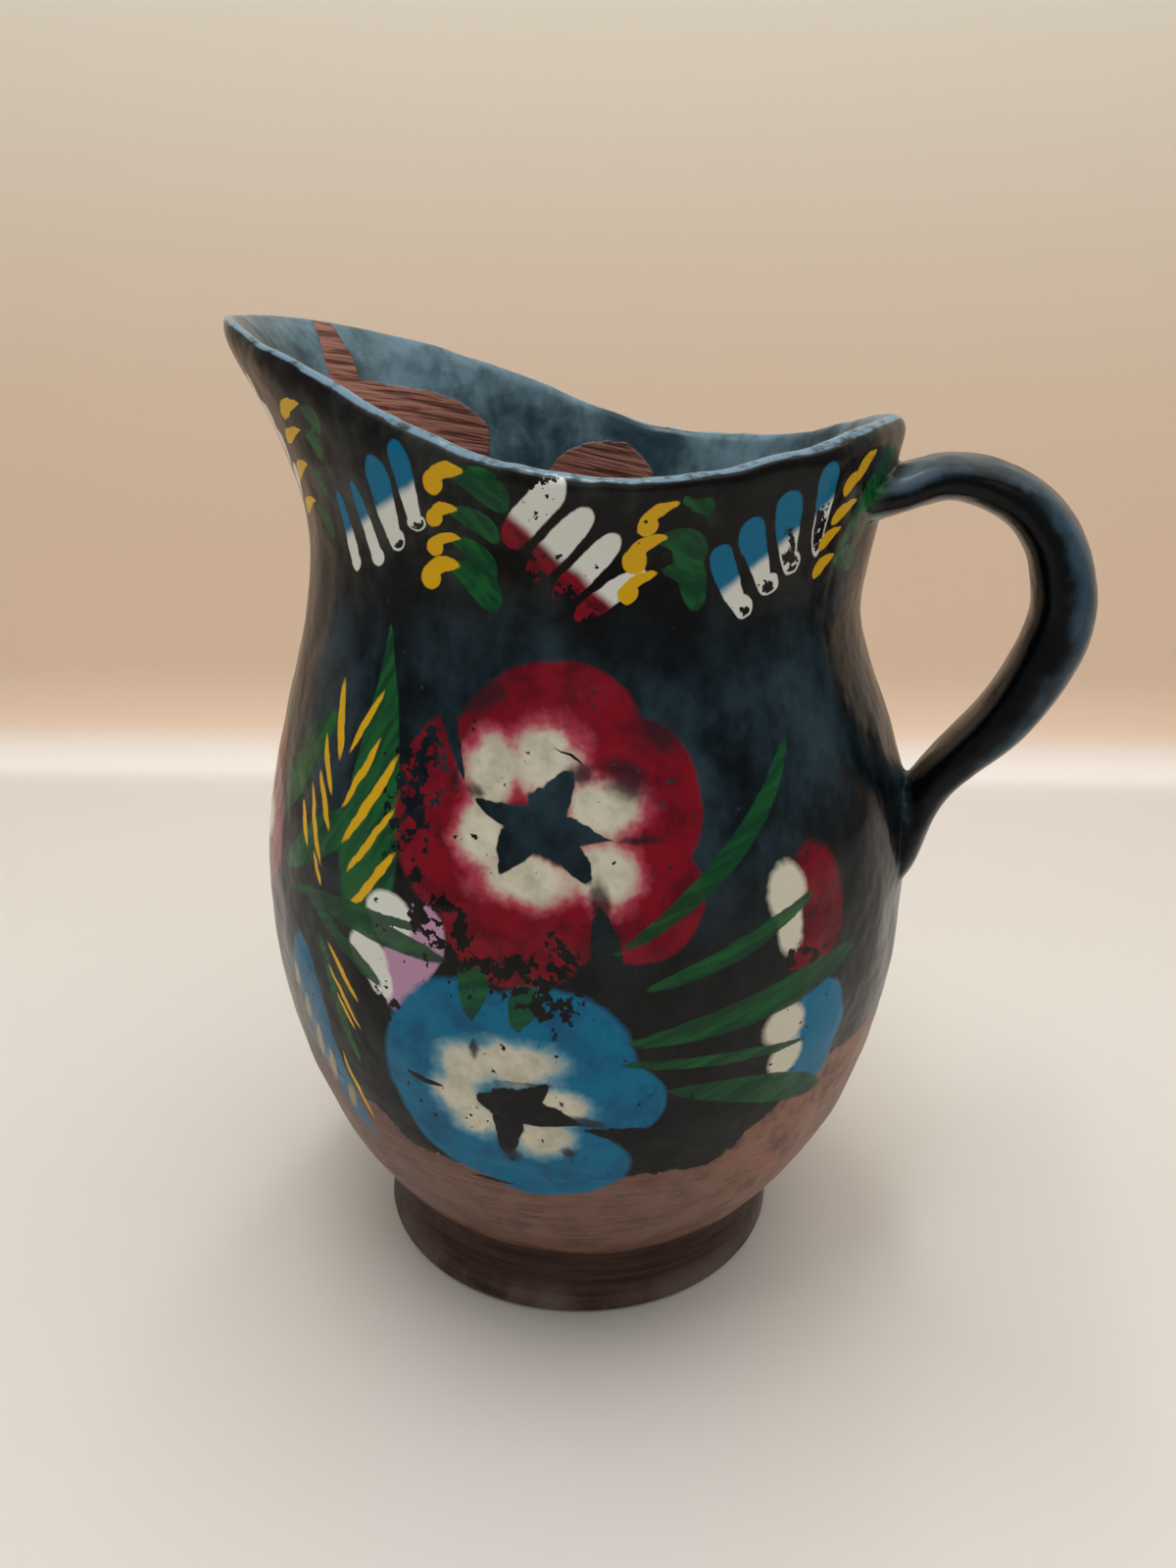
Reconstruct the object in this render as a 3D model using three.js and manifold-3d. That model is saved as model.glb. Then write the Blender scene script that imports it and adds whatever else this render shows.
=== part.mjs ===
// A hand-thrown earthenware pitcher: a round belly on a low solid foot, a drawn-in neck, a rim
// pulled up into a pouring spout, and a pulled strap handle opposite the spout.
// Millimetres, +Z up. The origin is the centre of the flat underside, the spout points to -X
// and the handle to +X.

import * as THREE from 'three';
import { mergeVertices } from 'three/addons/utils/BufferGeometryUtils.js';
import Module from 'manifold-3d';

// Foot and base
const FOOT_RADIUS = 43.3;
const FOOT_HEIGHT = 13.4;
const FOOT_TAPER = 2.6;
const FOOT_OFF_CENTRE = 1.2;
const FOOT_EDGE_RADIUS = 1.5;
const BASE_THICKNESS = 9;
const FLOOR_FILLET = 10.5;

// Belly, shoulder and neck
const BELLY_RADIUS = 65;
const BELLY_HEIGHT = 80;
const BOWL_OVERHANG = 1.2;
const SHOULDER_RISE = 71;
const SHOULDER_FULLNESS = 1.15;
const NECK_RADIUS = 52.7;

// The potter's hand pressed the neck lower and deeper under the handle
const PRESSED_DEPTH = 1.3;
const PRESSED_DROP = 10.5;
const PRESSED_FULLNESS = 1.6;
const PRESSED_FLARE = 0.75;

// Wall and lip
const WALL = 5.4;
const LIP_ROUND = WALL / 2;

// Rim, at its lowest on the two sides, and how far it is pulled out and up elsewhere:
// under the handle, half-way to the sides, half-way on to the spout, and at the spout
const RIM_RADIUS = 55.6;
const RIM_RISE = 16.5;
const RIM_FLARE = 1.5;
const HANDLE_SIDE_OUT = 2.5;
const HANDLE_SIDE_RISE = 5.2;
const BACK_QUARTER_OUT = 2.1;
const BACK_QUARTER_RISE = 0.4;
const CHEEK_OUT = 4.5;
const CHEEK_RISE = 14.1;
const SPOUT_OUT = 15.8;
const SPOUT_RISE = 21.1;

// Handle: its middle line leaves the neck below the rim, rises to a crest, reaches furthest out
// below that and ends above the widest part of the belly
const HANDLE_ROOT_BELOW_RIM = 9;
const HANDLE_CREST_RISE = 3.9;
const HANDLE_CREST_OUT = 13.6;
const HANDLE_REACH_DROP = 22.4;
const HANDLE_REACH = 33.8;
const HANDLE_TAIL_ABOVE_BELLY = 10;
const HANDLE_WIDTH = 19;
const HANDLE_THICKNESS = 11.7;
const HANDLE_END_THICKNESS = 8.6;
const HANDLE_ROOT_WIDTH = 33;
const HANDLE_TAIL_WIDTH = 25;
const HANDLE_ROOT_SHARE = 0.2;
const HANDLE_SQUARENESS = 2.5;
const HANDLE_TWIST = 5;

// Facets
const ROUND_STEPS = 64;
const BODY_STEPS = 11;
const NECK_STEPS = 5;
const LIP_STEPS = 6;
const CORNER_STEPS = 3;
const INSIDE_STEPS = 7;
const HANDLE_STEPS = 36;
const SECTION_STEPS = 16;

// Levels above the table, and where the bowl would close below the foot
const NECK_HEIGHT = BELLY_HEIGHT + SHOULDER_RISE;
const RIM_HEIGHT = NECK_HEIGHT + RIM_RISE;
const WAIST_RADIUS = FOOT_RADIUS - FOOT_TAPER;
const SEAT_SHARE = (WAIST_RADIUS + BOWL_OVERHANG) / BELLY_RADIUS;
const BOWL_DEPTH = (BELLY_HEIGHT - FOOT_HEIGHT) / Math.sqrt(1 - SEAT_SHARE ** 2);

const wasm = await Module();
wasm.setup();

const { lerp } = THREE.MathUtils;

// A bell that is 1 at the middle and falls to 0 at the spread.
function bell(away, spread) {
  return (1 + Math.cos(Math.PI * Math.min(1, Math.abs(away) / spread))) / 2;
}

// The lower half of the pot, part of an ellipse.
function bowlRadius(z, belly, depth) {
  return belly * Math.sqrt(Math.max(0, 1 - ((BELLY_HEIGHT - z) / depth) ** 2));
}

// The wall's outer radius; pressed runs from 0, clear of the handle, to 1 under it.
function wallRadius(z, pressed = 0) {
  if (z <= BELLY_HEIGHT) return bowlRadius(z, BELLY_RADIUS, BOWL_DEPTH);
  const neckRadius = NECK_RADIUS - PRESSED_DEPTH * pressed;
  const neckHeight = NECK_HEIGHT - PRESSED_DROP * pressed;
  if (z > neckHeight) {
    const share = (z - neckHeight) / (RIM_HEIGHT - neckHeight);
    return lerp(neckRadius, RIM_RADIUS, share ** lerp(RIM_FLARE, PRESSED_FLARE, pressed));
  }
  const fullness = lerp(SHOULDER_FULLNESS, PRESSED_FULLNESS, pressed);
  const share = (z - BELLY_HEIGHT) / (neckHeight - BELLY_HEIGHT);
  return lerp(neckRadius, BELLY_RADIUS, bell(share ** fullness, 1));
}

// Points [radius, height] at even heights from one level to another.
function levels(from, to, steps, radiusAt) {
  const points = [];
  for (let i = 0; i <= steps; i += 1) {
    const z = from + ((to - from) * i) / steps;
    points.push(new THREE.Vector2(radiusAt(z), z));
  }
  return points;
}

function corner(from, middle, to) {
  return new THREE.QuadraticBezierCurve(from, middle, to).getPoints(CORNER_STEPS);
}

// Outside of the pot, from the middle of the underside up to the lip.
function outsideProfile() {
  const edge = corner(
    new THREE.Vector2(FOOT_RADIUS - FOOT_EDGE_RADIUS, 0),
    new THREE.Vector2(FOOT_RADIUS, 0),
    new THREE.Vector2(FOOT_RADIUS, FOOT_EDGE_RADIUS),
  );
  return [
    new THREE.Vector2(0, 0),
    ...edge,
    new THREE.Vector2(WAIST_RADIUS, FOOT_HEIGHT),
    ...levels(FOOT_HEIGHT + BOWL_OVERHANG, BELLY_HEIGHT, BODY_STEPS, (z) => wallRadius(z)),
    ...levels(BELLY_HEIGHT, NECK_HEIGHT, BODY_STEPS, (z) => wallRadius(z)).slice(1),
    ...levels(NECK_HEIGHT, RIM_HEIGHT - LIP_ROUND, NECK_STEPS, (z) => wallRadius(z)).slice(1),
  ];
}

// Half a circle over the top of the wall.
function lipProfile() {
  const middle = wallRadius(RIM_HEIGHT - LIP_ROUND) - LIP_ROUND;
  const points = [];
  for (let i = 1; i < LIP_STEPS; i += 1) {
    const turn = (Math.PI * i) / LIP_STEPS;
    points.push(
      new THREE.Vector2(
        middle + LIP_ROUND * Math.cos(turn),
        RIM_HEIGHT - LIP_ROUND + LIP_ROUND * Math.sin(turn),
      ),
    );
  }
  return points;
}

// Inside of the pot, from the lip down to the middle of the floor.
function insideProfile() {
  const bowlInside = (z) => bowlRadius(z, BELLY_RADIUS - WALL, BOWL_DEPTH - WALL);
  const floorRadius = bowlInside(BASE_THICKNESS);
  const fillet = Math.min(FLOOR_FILLET, floorRadius / 2);
  const wallEnd = BASE_THICKNESS + fillet;
  const rounded = corner(
    new THREE.Vector2(bowlInside(wallEnd), wallEnd),
    new THREE.Vector2(floorRadius, BASE_THICKNESS),
    new THREE.Vector2(floorRadius - fillet, BASE_THICKNESS),
  );
  const inward = (z) => wallRadius(z) - WALL;
  return [
    ...levels(RIM_HEIGHT - LIP_ROUND, NECK_HEIGHT, NECK_STEPS, inward),
    ...levels(NECK_HEIGHT, BELLY_HEIGHT, INSIDE_STEPS, inward).slice(1),
    ...levels(BELLY_HEIGHT, wallEnd, INSIDE_STEPS, bowlInside).slice(1, -1),
    ...rounded,
    new THREE.Vector2(0, BASE_THICKNESS),
  ];
}

// A smooth round curve through values given at even angles from the handle's side to the spout,
// alike on both sides of the pot.
function roundCurve(values, angle) {
  const last = values.length - 1;
  const half = (i) => (i === 0 || i === last ? 0.5 : 1);
  let sum = 0;
  for (let wave = 0; wave <= last; wave += 1) {
    let size = 0;
    for (let i = 0; i <= last; i += 1) {
      size += half(i) * values[i] * Math.cos((Math.PI * wave * i) / last);
    }
    sum += (half(wave) * 2 * size * Math.cos(wave * angle)) / last;
  }
  return sum;
}

// How far the rim is moved out and up at an angle round the pot; 0 is the handle's side.
function rimPull(angle) {
  return {
    out: roundCurve([HANDLE_SIDE_OUT, BACK_QUARTER_OUT, 0, CHEEK_OUT, SPOUT_OUT], angle),
    up: roundCurve([HANDLE_SIDE_RISE, BACK_QUARTER_RISE, 0, CHEEK_RISE, SPOUT_RISE], angle),
  };
}

// Shapes the round pot: the neck pressed in at the handle, the mouth drawn out into the spout,
// the foot trimmed a little off centre towards the spout.
function shaped(x, y, z) {
  const angle = Math.atan2(y, x);
  const radius = Math.hypot(x, y);
  const pressed = bell(angle, Math.PI / 2);
  const share = Math.max(0, (z - NECK_HEIGHT) / (RIM_HEIGHT - NECK_HEIGHT));
  const pull = rimPull(angle);
  const out = wallRadius(z, pressed) - wallRadius(z) + pull.out * share ** RIM_FLARE;
  const grown = (radius + out) / (radius || 1);
  const offCentre = FOOT_OFF_CENTRE * bell(z, FOOT_HEIGHT);
  return [x * grown - offCentre, y * grown, z + pull.up * share];
}

// A closed shape turned round +Z from its profile, then shaped as above.
function turned(profile) {
  const geometry = new THREE.LatheGeometry(profile, ROUND_STEPS);
  geometry.rotateX(Math.PI / 2);
  const place = geometry.attributes.position;
  for (let i = 0; i < place.count; i += 1) {
    place.setXYZ(i, ...shaped(place.getX(i), place.getY(i), place.getZ(i)));
  }
  return solid(geometry);
}

// A three.js geometry as a manifold solid.
function solid(geometry) {
  const bare = geometry.clone();
  bare.deleteAttribute('normal');
  bare.deleteAttribute('uv');
  const welded = mergeVertices(bare, 1e-4);
  const corners = [];
  const index = welded.index.array;
  for (let i = 0; i < index.length; i += 3) {
    const [a, b, c] = [index[i], index[i + 1], index[i + 2]];
    if (a !== b && b !== c && c !== a) corners.push(a, b, c);
  }
  return new wasm.Manifold(
    new wasm.Mesh({
      numProp: 3,
      vertProperties: Float32Array.from(welded.attributes.position.array),
      triVerts: Uint32Array.from(corners),
    }),
  );
}

function geometryOf(manifold) {
  const mesh = manifold.getMesh();
  const geometry = new THREE.BufferGeometry();
  geometry.setAttribute('position', new THREE.BufferAttribute(mesh.vertProperties, 3));
  geometry.setIndex(new THREE.BufferAttribute(mesh.triVerts, 1));
  geometry.computeVertexNormals();
  return geometry;
}

// The handle's middle line in the plane y = 0: out of the neck, over its crest, round to its
// furthest point and back down to the belly.
function handleRoute() {
  const flat = (x, z) => new THREE.Vector3(x, 0, z);
  const wallMiddle = (z) => flat(wallRadius(z, 1) - WALL / 2, z);
  const root = wallMiddle(RIM_HEIGHT - HANDLE_ROOT_BELOW_RIM);
  const tail = wallMiddle(BELLY_HEIGHT + HANDLE_TAIL_ABOVE_BELLY);
  const crest = flat(NECK_RADIUS + HANDLE_CREST_OUT, root.z + HANDLE_CREST_RISE);
  const reach = flat(NECK_RADIUS + HANDLE_REACH, crest.z - HANDLE_REACH_DROP);
  const round = flat(
    crest.x + (reach.x - crest.x) * Math.SQRT1_2,
    reach.z + (crest.z - reach.z) * Math.SQRT1_2,
  );
  const back = (inward, down) => flat(
    reach.x + (tail.x - reach.x) * inward,
    reach.z + (tail.z - reach.z) * down,
  );
  const points = [root, crest, round, reach, back(0.25, 0.36), back(0.8, 0.7), tail];
  return new THREE.CatmullRomCurve3(points, false, 'centripetal');
}

// Width of the strap along its length: spread where it is pressed on to the pot.
function strapWidth(share) {
  const root = bell(share, HANDLE_ROOT_SHARE) * (HANDLE_ROOT_WIDTH - HANDLE_WIDTH);
  const tail = bell(1 - share, HANDLE_ROOT_SHARE) * (HANDLE_TAIL_WIDTH - HANDLE_WIDTH);
  return HANDLE_WIDTH + root + tail;
}

// The strap is thickest half-way, where a hand holds it.
function strapThickness(share) {
  const middle = bell(share - 0.5, 0.4);
  return HANDLE_END_THICKNESS + (HANDLE_THICKNESS - HANDLE_END_THICKNESS) * middle;
}

// One point of the strap's rounded section, from -1 to 1 each way.
function sectionPoint(step) {
  const turn = (2 * Math.PI * step) / SECTION_STEPS;
  const rounded = (v) => Math.sign(v) * Math.abs(v) ** (2 / HANDLE_SQUARENESS);
  return [rounded(Math.cos(turn)), rounded(Math.sin(turn))];
}

// The strap as rings along the route, closed at both ends.
function handleSolid() {
  const route = handleRoute();
  const twist = THREE.MathUtils.degToRad(HANDLE_TWIST);
  const sideways = new THREE.Vector3(0, 1, 0);
  const places = [];
  const corners = [];
  for (let i = 0; i <= HANDLE_STEPS; i += 1) {
    const share = i / HANDLE_STEPS;
    const at = route.getPointAt(share);
    const along = route.getTangentAt(share);
    const turn = twist * bell(share - 0.5, 0.5);
    const across = sideways.clone().applyAxisAngle(along, turn);
    const outward = along.clone().cross(across);
    for (let k = 0; k < SECTION_STEPS; k += 1) {
      const [wide, deep] = sectionPoint(k);
      const point = at.clone();
      point.addScaledVector(across, (wide * strapWidth(share)) / 2);
      point.addScaledVector(outward, (deep * strapThickness(share)) / 2);
      places.push(...point);
    }
  }
  const ring = (i, k) => i * SECTION_STEPS + (k % SECTION_STEPS);
  for (let i = 0; i < HANDLE_STEPS; i += 1) {
    for (let k = 0; k < SECTION_STEPS; k += 1) {
      corners.push(ring(i, k), ring(i, k + 1), ring(i + 1, k + 1));
      corners.push(ring(i, k), ring(i + 1, k + 1), ring(i + 1, k));
    }
  }
  for (let k = 1; k < SECTION_STEPS - 1; k += 1) {
    corners.push(ring(0, 0), ring(0, k + 1), ring(0, k));
    corners.push(ring(HANDLE_STEPS, 0), ring(HANDLE_STEPS, k), ring(HANDLE_STEPS, k + 1));
  }
  const geometry = new THREE.BufferGeometry();
  geometry.setAttribute('position', new THREE.Float32BufferAttribute(places, 3));
  geometry.setIndex(corners);
  return solid(geometry);
}

// The hollow, carried on above the rim, so that it clears the handle's roots from the inside.
function hollow() {
  const inside = insideProfile().reverse();
  const top = inside.at(-1);
  return turned([
    ...inside,
    new THREE.Vector2(top.x, RIM_HEIGHT + WALL),
    new THREE.Vector2(0, RIM_HEIGHT + WALL),
  ]);
}

function pitcher() {
  const pot = turned([...outsideProfile(), ...lipProfile(), ...insideProfile()]);
  const strap = handleSolid().subtract(hollow());
  const mesh = new THREE.Mesh(
    geometryOf(pot.add(strap)),
    new THREE.MeshStandardMaterial({ color: 0x16202a, roughness: 0.28, metalness: 0 }),
  );
  mesh.name = 'pitcher';
  return mesh;
}

const model = new THREE.Group();
model.name = 'earthenware_pitcher';
model.add(pitcher());

export default model;
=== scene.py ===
"""A hand-painted earthenware pitcher: dark glaze, bare clay low down and inside the mouth, and
flowers, leaves and dabs brushed on in flat colours. Lengths are in metres unless a name says mm."""

import math

import bpy
import numpy as np
from mathutils import Matrix, Vector, kdtree


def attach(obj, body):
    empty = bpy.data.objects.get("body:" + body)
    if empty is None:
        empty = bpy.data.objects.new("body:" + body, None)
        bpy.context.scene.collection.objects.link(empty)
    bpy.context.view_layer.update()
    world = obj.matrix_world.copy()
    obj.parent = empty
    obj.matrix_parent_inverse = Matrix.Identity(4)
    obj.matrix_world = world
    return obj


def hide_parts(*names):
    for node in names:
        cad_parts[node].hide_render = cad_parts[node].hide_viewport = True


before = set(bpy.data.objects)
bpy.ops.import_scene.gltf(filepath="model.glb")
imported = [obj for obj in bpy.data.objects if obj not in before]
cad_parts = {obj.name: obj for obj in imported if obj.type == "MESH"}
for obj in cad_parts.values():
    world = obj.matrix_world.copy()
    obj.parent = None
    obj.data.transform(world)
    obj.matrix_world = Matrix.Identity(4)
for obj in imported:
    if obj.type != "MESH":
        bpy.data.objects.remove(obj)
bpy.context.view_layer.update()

MM = 0.001

# The view, worked out from the outline of the belly, the rim and the foot
CAMERA_AZIMUTH = 15.21
CAMERA_PITCH = 20.12
CAMERA_ROLL = 0.6
CAMERA_DISTANCE = 228.9 * MM
CAMERA_HEIGHT = 181.84 * MM
PHOTO_FOCAL_PX = 1202
PHOTO_HEIGHT_PX = 1600
SENSOR_MM = 36

# The paper behind, and the gap that keeps the foot from sinking into it
SWEEP_BEND_Y = 300 * MM
SWEEP_RADIUS = 45 * MM
SWEEP_NEAR_Y = -500 * MM
SWEEP_TOP = 1400 * MM
SWEEP_HALF_WIDTH = 1800 * MM
SWEEP_STEPS = 12
FLOOR_GAP = 0.1 * MM

# The pot
WALL = 5.4 * MM
BELOW_INNER_FLOOR = 4 * MM
INNER_FLOOR_RADIUS = 12 * MM
FOOT_HEIGHT_MM = 13.4
RIM_LOW = 150 * MM
RIM_HIGH = 166 * MM
HANDLE_LOW = 80 * MM
HANDLE_OPENING = (66 * MM, 0, 132 * MM)

# The joins of the handle: how sharp they are in the solid, and how far round them they are wiped
SHARP_JOIN = -170
JOIN_REACH = 6.5 * MM
LOW_JOIN_TOP = 115 * MM
LOW_JOIN_REACH = 12 * MM

# Zones of the glaze by height: where each begins and where it has fully come in
BELLY_MM = (152, 132)
SHOULDER_MM = (84, 120)
NECK_MM = (138, 158)

# The edge of the dipped glaze, which rises under the handle and a little under the spout
DIP_MM = 41.5
DIP_RISE_AT_HANDLE_MM = 17.0
DIP_RISE_AT_SPOUT_MM = 7.0

# The painting is laid out flat: millimetres round the belly from the front, and height
FLAT_RADIUS_MM = 60
FLAT_PER_DEGREE = math.radians(1) * FLAT_RADIUS_MM

# The neck band out of the photo's sight: one repeat, its height, its ends and its slanting rows of dabs
REPEAT_MM = math.radians(37) * FLAT_RADIUS_MM
BAND_LOW_MM = 145.6
BAND_HIGH_MM = 166.4
BAND_END_MM = 83.0
BAND_LIFT_MM = 13.0
RUNG_LOW_MM = 160.6
RUNG_HIGH_MM = 166.0
ROW_RIGHT = 0.83
ROW_UP = 0.55
ROW_MIDDLE_MM = 157.0
ROW_HALF_LENGTH_MM = 10.8
DAB_HALF_SPACING_MM = 2.7


def pigment(red, green, blue):
    """A colour as seen on a screen, made linear for the shader."""
    linear = []
    for level in (red, green, blue):
        share = level / 255
        linear.append(share / 12.92 if share <= 0.04045 else ((share + 0.055) / 1.055) ** 2.4)
    return (*linear, 1)


GLAZE_DARK = pigment(3, 12, 17)
GLAZE_SMOKE_AND_SHEEN = pigment(42, 68, 80)
GLAZE_BROWN = pigment(13, 10, 8)
GLAZE_GREY_MOTTLE_AND_SHEEN = pigment(70, 70, 64)
LIP_WEAR_AND_SHEEN = pigment(104, 134, 152)
BARE_CLAY = pigment(124, 92, 80)
BARE_CLAY_DARK = pigment(98, 68, 58)
CLAY_PALER_TOWARD_HANDLE = pigment(152, 106, 86)
FOOT_CLAY = pigment(62, 38, 30)
FOOT_DARK = pigment(34, 20, 16)
FOOT_DUST_AND_SHEEN = pigment(128, 114, 108)
INSIDE_CLAY = pigment(146, 96, 82)
INSIDE_CLAY_DARK = pigment(84, 48, 40)
HANDLE_DARK = pigment(4, 6, 8)
HANDLE_SMOKE_AND_SHEEN = pigment(52, 74, 88)
HANDLE_REFLECTED_BROWN = pigment(96, 84, 72)
SLIP_BLUE = pigment(38, 62, 72)
SLIP_PALE = pigment(104, 130, 142)
RED = pigment(128, 12, 30)
RED_DEEP = pigment(88, 10, 24)
DUSK = pigment(42, 24, 30)
CREAM = pigment(216, 209, 188)
CREAM_DULL = pigment(184, 180, 158)
WHITE = pigment(226, 226, 216)
BLUE = pigment(2, 108, 146)
BLUE_DEEP = pigment(6, 84, 122)
BLUE_PALE = pigment(116, 158, 172)
PINK = pigment(178, 72, 88)
GREEN = pigment(24, 92, 44)
GREEN_DEEP = pigment(14, 62, 36)
YELLOW = pigment(222, 172, 22)
OCHRE = pigment(170, 150, 96)
LILAC = pigment(188, 142, 172)
PAPER_FLOOR = pigment(222, 217, 210)
PAPER_BEND_LIGHT_BAND = pigment(244, 238, 230)
PAPER_WALL = pigment(234, 205, 178)
PAPER_WALL_HIGH_LIGHT = pigment(242, 240, 224)


# Mesh

def select_only(obj):
    bpy.ops.object.select_all(action="DESELECT")
    obj.select_set(True)
    bpy.context.view_layer.objects.active = obj


def add_modifier(obj, kind, **settings):
    """Adds a modifier with its settings and applies it at once."""
    select_only(obj)
    modifier = obj.modifiers.new(kind.title(), kind)
    for name, value in settings.items():
        setattr(modifier, name, value)
    bpy.ops.object.modifier_apply(modifier=modifier.name)


def places_of(obj):
    places = np.empty(len(obj.data.vertices) * 3)
    obj.data.vertices.foreach_get("co", places)
    return places.reshape(-1, 3)


def normals_of(obj):
    normals = np.empty(len(obj.data.vertices) * 3)
    obj.data.vertices.foreach_get("normal", normals)
    return normals.reshape(-1, 3)


def ramp(values, low, high):
    share = np.clip((values - low) / (high - low), 0, 1)
    return share * share * (3 - 2 * share)


def weigh(obj, name, weights):
    """A vertex group from one weight a vertex."""
    group = obj.vertex_groups.new(name=name)
    for index in np.nonzero(weights > 0.001)[0]:
        group.add([int(index)], float(weights[index]), "REPLACE")


def edges_of(obj):
    edges = np.empty(len(obj.data.edges) * 2, dtype=np.int64)
    obj.data.edges.foreach_get("vertices", edges)
    return edges.reshape(-1, 2)


def store(obj, name, first, second=0, third=0):
    """Up to three numbers for every vertex, kept together as one attribute."""
    attribute = obj.data.attributes.new(name, "FLOAT_VECTOR", "POINT")
    numbers = np.stack(np.broadcast_arrays(first, second, third), axis=1)
    attribute.data.foreach_set("vector", numbers.astype(np.float32).ravel())


def outwardness(places, normals):
    """How far each normal leans away from the axis: 1 straight out, -1 straight in."""
    across = np.hypot(places[:, 0], places[:, 1]) + 1e-9
    return (places[:, 0] * normals[:, 0] + places[:, 1] * normals[:, 1]) / across


def reached_from_the_floor(obj, places, leaning, limit):
    """The vertices met by walking over the mesh from the middle of the inner floor up to the lip."""
    one, other = edges_of(obj).T
    above_underside = places[:, 2] > BELOW_INNER_FLOOR
    reached = (np.hypot(places[:, 0], places[:, 1]) < INNER_FLOOR_RADIUS) & above_underside
    open_way = (leaning < limit) & above_underside
    while True:
        before = reached.sum()
        reached[other[reached[one] & open_way[other]]] = True
        reached[one[reached[other] & open_way[one]]] = True
        if reached.sum() == before:
            return reached


def fired_clay():
    """The whole pot in one fine mesh: the solid's own faces made quads and rounded."""
    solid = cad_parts["pitcher"]
    pot = solid.copy()
    pot.data = solid.data.copy()
    pot.name = "painted_pitcher"
    pot.parent = None
    for tag in [key for key in pot.keys() if key.startswith("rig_")]:
        del pot[tag]
    bpy.context.scene.collection.objects.link(pot)
    select_only(pot)
    bpy.ops.object.mode_set(mode="EDIT")
    bpy.ops.mesh.select_all(action="SELECT")
    bpy.ops.mesh.remove_doubles(threshold=0.02 * MM)
    bpy.ops.mesh.tris_convert_to_quads(face_threshold=0.4, shape_threshold=0.9)
    bpy.ops.object.mode_set(mode="OBJECT")
    add_modifier(pot, "SUBSURF", levels=2, render_levels=2)
    return pot


def grow(places, seeds, reach):
    """A weight for every vertex: 1 on the seeds, falling to 0 at the given distance from them."""
    tree = kdtree.KDTree(len(seeds))
    for index in seeds:
        tree.insert(places[index], int(index))
    tree.balance()
    distances = np.array([tree.find(place)[2] for place in places])
    return 1 - ramp(distances, reach * 0.35, reach)


def smooth_the_joins(pot):
    """The handle is luted on: its hard joins with the pot are wiped round."""
    places = places_of(pot)
    normals = normals_of(pot)
    edges = edges_of(pot)
    one, other = edges.T
    step_between = places[other] - places[one]
    turn_between = normals[other] - normals[one]
    curve = (step_between * turn_between).sum(1) / ((step_between ** 2).sum(1) + 1e-12)
    middle = (places[one] + places[other]) / 2
    near = (middle[:, 0] > 40 * MM) & (np.abs(middle[:, 1]) < 24 * MM) & (middle[:, 2] > 70 * MM)
    near &= np.hypot(middle[:, 0], middle[:, 1]) > 51 * MM
    seeds = np.unique(edges[(curve < SHARP_JOIN) & near])
    weigh(pot, "join", grow(places, seeds, JOIN_REACH))
    add_modifier(pot, "SMOOTH", factor=0.5, iterations=14, vertex_group="join")
    low = seeds[places[seeds, 2] < LOW_JOIN_TOP]
    weigh(pot, "low_join", grow(places, low, LOW_JOIN_REACH))
    add_modifier(pot, "SMOOTH", factor=0.5, iterations=34, vertex_group="low_join")


def uneven(pot, name, size, amount, middle, weights=None, direction="NORMAL"):
    """Pushes the surface in and out by a cloud pattern of a given size."""
    pattern = bpy.data.textures.new(name, "CLOUDS")
    pattern.noise_scale = size
    pattern.noise_depth = 2
    settings = {"texture": pattern, "strength": amount, "mid_level": middle, "direction": direction}
    if weights is not None:
        weigh(pot, name, weights)
        settings["vertex_group"] = name
    add_modifier(pot, "DISPLACE", **settings)


def work_by_hand(pot):
    """Hand work that the solid leaves out: slight lumps all over and a wavering rim."""
    places = places_of(pot)
    above_foot = ramp(places[:, 2], 2 * MM, 20 * MM)
    uneven(pot, "lumps", 26 * MM, 1.1 * MM, 0.62, above_foot)
    uneven(pot, "dents", 9 * MM, 0.4 * MM, 0.6, above_foot)
    places = places_of(pot)
    high = ramp(places[:, 2], RIM_LOW, RIM_HIGH) * (np.hypot(places[:, 0], places[:, 1]) < 76 * MM)
    keep_spout = 1 - ramp(-places[:, 0], 40 * MM, 60 * MM)
    uneven(pot, "rim", 15 * MM, 1.6 * MM, 0.62, high * keep_spout, "Z")


def mark_parts(pot):
    """Stores where the inside, the lip and the handle are, which way the handle's sides face and where
    the paint is worn, for the glaze to read."""
    places = places_of(pot)
    normals = normals_of(pot)
    leaning = outwardness(places, normals)
    reached = reached_from_the_floor(pot, places, leaning, 0.7)
    inside = reached * (1 - ramp(leaning, -0.5, 0.3))
    facing_up = ramp(normals[:, 2], -0.1, 0.5)
    lip = reached * facing_up * ramp(leaning, -0.55, -0.2) * ramp(places[:, 2], 130 * MM, 145 * MM)
    wall = kdtree.KDTree(int(reached.sum()))
    for index in np.nonzero(reached)[0]:
        wall.insert(places[index], int(index))
    wall.balance()
    handle = np.zeros(len(places))
    near_handle = (places[:, 0] > 45 * MM) & (np.abs(places[:, 1]) < 20 * MM)
    near_handle &= places[:, 2] > HANDLE_LOW
    for index in np.nonzero(near_handle & ~reached)[0]:
        handle[index] = wall.find(places[index])[2]
    store(pot, "parts", inside, lip, ramp(handle, WALL + 0.6 * MM, WALL + 2.6 * MM))
    toward = np.array(HANDLE_OPENING) - places
    toward /= np.linalg.norm(toward, axis=1)[:, None]
    facing = (toward * normals).sum(1)
    store(pot, "handle_sides", ramp(facing, 0.35, 0.6), ramp(-facing, 0.3, 0.85), worn_paint(places))


# Shader nodes

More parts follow.
